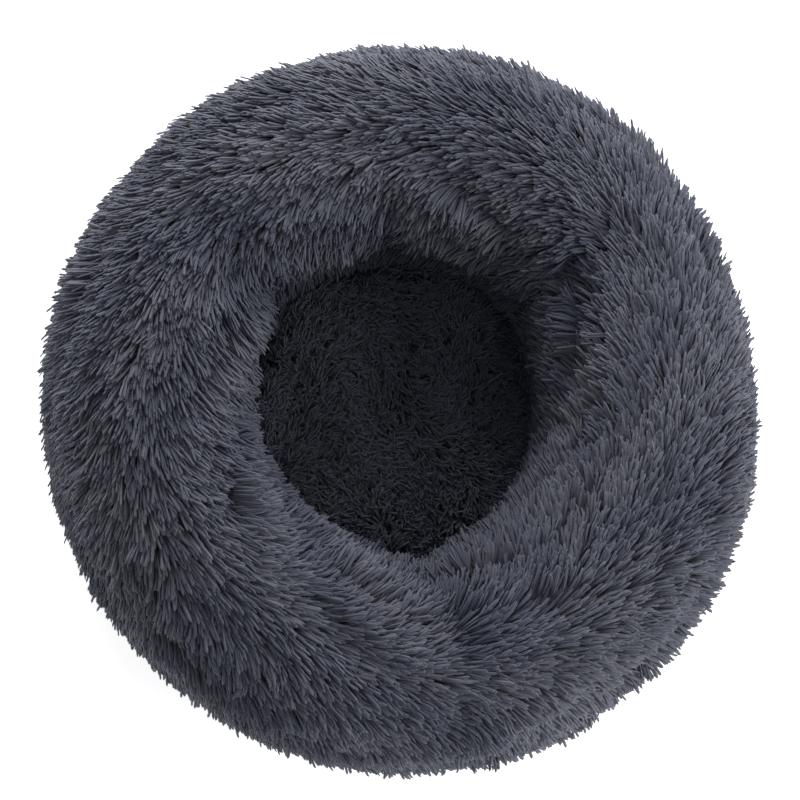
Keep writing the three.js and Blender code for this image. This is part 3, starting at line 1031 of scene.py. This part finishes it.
def cylinder(place, radius, depth, axis, sides=32):
    """A cylinder with its middle at place, along the X, Y or Z axis."""
    turn = {"X": (0, math.pi / 2, 0), "Y": (math.pi / 2, 0, 0), "Z": (0, 0, 0)}[axis]
    deselect()
    bpy.ops.mesh.primitive_cylinder_add(
        vertices=sides, radius=radius, depth=depth, location=place, rotation=turn
    )
    bpy.ops.object.transform_apply(location=True, rotation=True, scale=True)
    return bpy.context.object


def cast(parts, voxel, angle, holes=()):
    """Joins parts into one soft-edged casting, cuts the holes and turns it to its place round the bed."""
    deselect()
    for part in parts:
        part.select_set(True)
    bpy.context.view_layer.objects.active = parts[0]
    bpy.ops.object.join()
    obj = bpy.context.object
    remesh = obj.modifiers.new("Cast", "REMESH")
    remesh.mode, remesh.voxel_size = "VOXEL", voxel
    apply_modifiers(obj)
    for hole in holes:
        cut = obj.modifiers.new("Hole", "BOOLEAN")
        cut.operation, cut.solver, cut.object = "DIFFERENCE", "EXACT", hole
        apply_modifiers(obj)
        bpy.data.objects.remove(hole)
    smooth = obj.modifiers.new("Soften", "SMOOTH")
    smooth.factor, smooth.iterations = 0.5, 3
    apply_modifiers(obj)
    obj.rotation_euler = (0, 0, angle)
    return obj


def coil(name, centre, reach, thick, angles, side, pitch, radius, material):
    """One side of the chain: a wire wound in flattened turns along the tape's edge."""
    mean = (radius[0] + radius[1]) / 2
    turns = int(mean * (angles[1] - angles[0]) / pitch)
    steps = 11
    t = np.arange(turns * steps + 1) / steps
    swing = TURN * t
    near, far = reach
    rise = np.sign(np.cos(swing)) * np.abs(np.cos(swing)) ** 0.6
    z = centre + side * ((near + far) / 2 - (far - near) / 2 * rise)
    r = mean + ((radius[1] - radius[0]) / 2) * np.sign(np.sin(swing)) * np.abs(np.sin(swing)) ** 0.7
    phi = angles[0] + (t + (0.5 if side < 0 else 0)) * pitch / mean
    curve = bpy.data.curves.new(name, "CURVE")
    curve.dimensions, curve.use_fill_caps = "3D", True
    curve.bevel_depth, curve.bevel_resolution = thick / 2, 1
    line = curve.splines.new("POLY")
    line.points.add(len(t) - 1)
    line.points.foreach_set("co", np.stack([r * np.cos(phi), r * np.sin(phi), z, 0 * z + 1], -1).ravel())
    obj = bpy.data.objects.new(name, curve)
    bpy.context.scene.collection.objects.link(obj)
    pick(obj)
    bpy.ops.object.convert(target="MESH")
    return finish_piece(bpy.context.object, name, material)


class PLUSH_OT_zip_chain(Operator):
    """Makes the zip's two tapes, its two wound coils and the stops at its ends"""

    bl_idname = "plush.zip_chain"
    bl_label = "Zip chain"
    bl_options = {"REGISTER", "UNDO"}

    def execute(self, context):
        s = context.scene.plush_zip
        tape = plain_cloth("Zip tape", (0.012, 0.013, 0.016), scale=1300)
        thread = bpy.data.materials["Sewing thread"]
        nylon = plastic_material("Coil nylon", (0.012, 0.012, 0.015), 0.35)
        upper, lower = along_zip("zip_coil_upper"), along_zip("zip_coil_lower")
        centre = (upper[2][0] + lower[2][1]) / 2
        for name, side, extent in (("upper", 1, upper), ("lower", -1, lower)):
            (r0, r1), (start, end), (low, high) = along_zip(f"zip_tape_{name}")
            near, far = (low, high) if side > 0 else (high, low)
            middle = (r0 + r1) / 2

            def place(u, v, start=start, end=end, near=near, far=far, middle=middle, side=side):
                phi = start + u * (end - start)
                flare = side * 5.5 * MM * np.clip((v - 0.45) / 0.55, 0, 1) ** 2
                r = middle + np.maximum(flare, -1.0 * MM) + 0.18 * MM * waves(phi * 3, v * 2, 91, 12) * v
                return polar(r, phi, near + v * (far - near))

            obj = cloth_patch(240, 8, place, 0.55 * MM)
            finish_piece(obj, f"zip_band_{name}", tape)
            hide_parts(f"zip_tape_{name}")
            row = centre + side * 5.2 * MM
            seam = stitch_ring(
                f"zip_stitches_{name}", middle + 0.42 * MM, row, thread, start + 0.01, end - 0.01, 3 * MM
            )
            (r0, r1), angles, (low, high) = extent
            reach = (0.72 * MM, abs((high if side > 0 else low) - centre) - 0.35 * MM)
            made = coil(
                f"zip_teeth_{name}", centre, reach, 0.72 * MM, angles, side, s.pitch,
                (r0 + 0.3 * MM, r1 - 0.36 * MM), nylon,
            )
            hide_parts(f"zip_coil_{name}")
        nickel = metal_material("Black nickel", (0.22, 0.225, 0.24), 0.32)
        for node in ("zip_top_stop_upper", "zip_top_stop_lower", "zip_bottom_stop"):
            obj = frame["nodes"][node].copy()
            obj.data = frame["nodes"][node].data.copy()
            context.scene.collection.objects.link(obj)
            face_outward(obj, merge=1e-6)
            modifier = obj.modifiers.new("Round", "BEVEL")
            modifier.width, modifier.segments, modifier.angle_limit = 0.35 * MM, 3, math.radians(40)
            apply_modifiers(obj)
            finish_piece(obj, node.replace("zip_", "zip_clamp_"), nickel)
            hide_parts(node)
        return {"FINISHED"}


class PLUSH_OT_slider(Operator):
    """Makes the zip's slider, which runs along the chain, and the pull that swings on its bridge"""

    bl_idname = "plush.slider"
    bl_label = "Slider and pull"
    bl_options = {"REGISTER", "UNDO"}

    def execute(self, context):
        nickel = bpy.data.materials["Black nickel"]
        hinge = next(j for j in frame["joints"] if j["name"] == "pull_flip")["pos_m"]
        angle, centre = math.atan2(hinge[1], hinge[0]), hinge[2]
        pin = math.hypot(hinge[0], hinge[1])
        (x0, x1), (y0, y1), (z0, z1) = local_box("zip_slider", angle)
        plate = pin - 1.05 * MM
        post = (centre - 0.28 * MM, centre + 0.28 * MM)
        chain = along_zip("zip_coil_upper")[0][1]
        parts = [
            block((chain + 0.35 * MM, plate), (y0, y1), (z0, z1), 0.9 * MM),
            block((chain - 2.2 * MM, plate - 0.4 * MM), (y0, y0 + 1.6 * MM), post),
            block((x0, x0 + 1.1 * MM), (y0, y1), (z0, z1), 0.5 * MM),
        ]
        for low, high in ((z0, z0 + 0.8 * MM), (z1 - 0.8 * MM, z1)):
            wide = (y0 + 0.3 * MM, y1 - 0.3 * MM)
            parts.append(block((chain - 1.0 * MM, plate - 0.2 * MM), wide, (low, high), 0.25 * MM))
        reach = 3.5 * MM
        strap = (centre - 1.1 * MM, centre + 1.1 * MM)
        parts.append(block((x1 - 0.9 * MM, x1), (-reach, reach), strap, 0.35 * MM))
        for low, high in ((-reach, -reach + 0.9 * MM), (reach - 0.9 * MM, reach)):
            parts.append(block((plate - 0.3 * MM, x1), (low, high), strap, 0.3 * MM))
        slider = cast(parts, 0.22 * MM, angle)
        finish_piece(slider, "slider_body", nickel, "slider")
        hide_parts("zip_slider")
        _, (_, y1), (z0, z1) = local_box("zip_pull", angle)
        eye, round_end = 4.95 * MM, (z1 - z0) / 2
        flat = (pin - 0.6 * MM, pin + 0.6 * MM)
        parts = [
            block(flat, (eye, y1 - round_end), (z0, z1), 0.3 * MM),
            cylinder((pin, y1 - round_end, centre), round_end, 1.2 * MM, "X", 48),
            cylinder((pin, 0, centre), 0.7 * MM, z1 - z0 - 0.3 * MM, "Z"),
        ]
        for low, high in ((z0, z0 + 1.3 * MM), (z1 - 1.3 * MM, z1)):
            parts.append(block(flat, (-0.55 * MM, eye + 0.6 * MM), (low, high), 0.3 * MM))
        dent = ((pin + 0.25 * MM, pin + 2 * MM), (eye + 2 * MM, y1 - 7 * MM), (z0 + 1.5 * MM, z1 - 1.5 * MM))
        holes = [cylinder((pin, y1 - round_end, centre), 1.5 * MM, 4 * MM, "X"), block(*dent, 0.2 * MM)]
        pull = cast(parts, 0.22 * MM, angle, holes)
        finish_piece(pull, "pull_tab", nickel, "pull")
        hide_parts("zip_pull")
        return {"FINISHED"}


class PLUSH_OT_label(Operator):
    """Makes the blank care label: a narrow ribbon folded in half and sewn in beside the zip"""

    bl_idname = "plush.label"
    bl_label = "Care label"
    bl_options = {"REGISTER", "UNDO"}

    def execute(self, context):
        (_, r1), (start, end), (low, high) = along_zip("care_label")
        middle, width, drop = (start + end) / 2, r1 * (end - start), high - low

        def place(u, v):
            way = (v - 0.5) * 2
            down = 1 - np.abs(way)
            depth = drop * down - 0.5 * MM
            turned = np.clip(1 - down / 0.06, 0, 1)
            gap = np.sign(way) * 0.45 * MM * np.sqrt(np.clip(1 - turned**2, 0, 1))
            bow = 2.4 * MM * (1 - down) ** 2 + 0.5 * MM * np.cos(u * math.pi * 2) * (1 - down)
            phi = middle + (u - 0.5) * width / r1
            r = r1 + 0.6 * MM + gap + bow
            return polar(r, phi, low + 0.5 * MM + depth)

        satin, _, shader = new_material("Label satin", 0.45, specular=0.5)
        shader.inputs["Base Color"].default_value = (0.62, 0.61, 0.58, 1)
        obj = cloth_patch(16, 90, place, 0.18 * MM)
        finish_piece(obj, "care_ribbon", satin)
        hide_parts("care_label")
        return {"FINISHED"}


# ---------------------------------------------------------------- stage


class PLUSH_OT_stage(Operator):
    """Sets the bed on a pale floor under soft light, seen from almost straight above"""

    bl_idname = "plush.stage"
    bl_label = "Stage"
    bl_options = {"REGISTER", "UNDO"}

    def execute(self, context):
        s = context.scene.plush_stage
        deselect()
        bpy.ops.mesh.primitive_plane_add(size=8)
        floor = context.object
        floor.name = "floor"
        material, _, shader = new_material("Pale floor", 0.9, specular=0.1)
        shader.inputs["Base Color"].default_value = (0.92, 0.92, 0.92, 1)
        shader.inputs["Emission Color"].default_value = (1, 1, 1, 1)
        shader.inputs["Emission Strength"].default_value = 0.75
        floor.data.materials.append(material)
        aim = Vector((0, 0, TOP / 2))
        for name, place, size, power in (
            ("key_right", (2.5, -0.7, 0.9), 1.6, s.key_power * 0.68),
            ("key_back", (-0.6, 2.5, 0.9), 1.6, s.key_power * 0.92),
            ("fill", (0.5, 0.8, 2.6), 2.4, s.key_power * 0.05),
        ):
            bpy.ops.object.light_add(type="AREA", location=place)
            lamp = context.object
            lamp.name, lamp.data.size, lamp.data.energy = name, size, power
            lamp.rotation_euler = (aim - Vector(place)).to_track_quat("-Z", "Y").to_euler()
        world = bpy.data.worlds.new("Soft studio")
        world.use_nodes = True
        sky = world.node_tree.nodes["Background"]
        sky.inputs["Color"].default_value = (0.97, 0.98, 1, 1)
        sky.inputs["Strength"].default_value = s.sky
        context.scene.world = world
        elevation, azimuth = math.radians(77), math.radians(293)
        level = math.cos(elevation)
        back = Vector((math.sin(azimuth) * level, -math.cos(azimuth) * level, math.sin(elevation)))
        side = Vector((0, 1, 0)).cross(back).normalized()
        bpy.ops.object.camera_add(location=aim + back * 2.6)
        camera = context.object
        camera.rotation_euler = Matrix((side, back.cross(side), back)).transposed().to_euler()
        camera.data.lens = 141.6
        camera.data.shift_x, camera.data.shift_y = -0.0062, 0.0096
        context.scene.camera = camera
        context.scene.view_settings.view_transform = "Standard"
        return {"FINISHED"}


# ---------------------------------------------------------------- panel


class PLUSH_PT_bed(Panel):
    """Settings of the bed and a button for each group of its pieces"""

    bl_idname = "PLUSH_PT_bed"
    bl_label = "Plush ring bed"
    bl_space_type = "VIEW_3D"
    bl_region_type = "UI"
    bl_category = "Plush Bed"

    def draw(self, context):
        for title, settings, properties, operators in GROUPS:
            box = self.layout.box()
            box.label(text=title)
            for name in properties:
                box.prop(getattr(context.scene, settings), name)
            for operator in operators:
                box.operator(f"plush.{operator}")


GROUPS = (
    (
        "Ring",
        "plush_pile",
        ("locks", "length", "width", "root_lean", "tip_lean", "clump", "gather"),
        ("ring_backing", "ring_pile", "stuffing", "linings"),
    ),
    ("Nest", "plush_nest", ("locks", "length", "width"), ("nest",)),
    ("Base", "plush_base", ("dot_spacing", "dot_size"), ("base", "inner_seams")),
    ("Zip", "plush_zip", ("pitch",), ("zip_chain", "slider", "label")),
    ("Stage", "plush_stage", ("key_power", "sky"), ("stage",)),
)
SETTINGS = {
    "plush_pile": PileSettings,
    "plush_nest": NestSettings,
    "plush_base": BaseSettings,
    "plush_zip": ZipSettings,
    "plush_stage": StageSettings,
}
CLASSES = (
    *SETTINGS.values(),
    PLUSH_OT_ring_backing,
    PLUSH_OT_ring_pile,
    PLUSH_OT_nest,
    PLUSH_OT_stuffing,
    PLUSH_OT_linings,
    PLUSH_OT_base,
    PLUSH_OT_inner_seams,
    PLUSH_OT_zip_chain,
    PLUSH_OT_slider,
    PLUSH_OT_label,
    PLUSH_OT_stage,
    PLUSH_PT_bed,
)


def register():
    for cls in CLASSES:
        bpy.utils.register_class(cls)
    for name, settings in SETTINGS.items():
        setattr(bpy.types.Scene, name, PointerProperty(type=settings))


def unregister():
    for name in SETTINGS:
        delattr(bpy.types.Scene, name)
    for cls in reversed(CLASSES):
        bpy.utils.unregister_class(cls)


def main():
    register()
    bpy.ops.plush.ring_backing()
    bpy.ops.plush.ring_pile()
    bpy.ops.plush.nest()
    bpy.ops.plush.stuffing()
    bpy.ops.plush.linings()
    bpy.ops.plush.base()
    bpy.ops.plush.inner_seams()
    bpy.ops.plush.zip_chain()
    bpy.ops.plush.slider()
    bpy.ops.plush.label()
    bpy.ops.plush.stage()


if __name__ == "__main__":
    main()
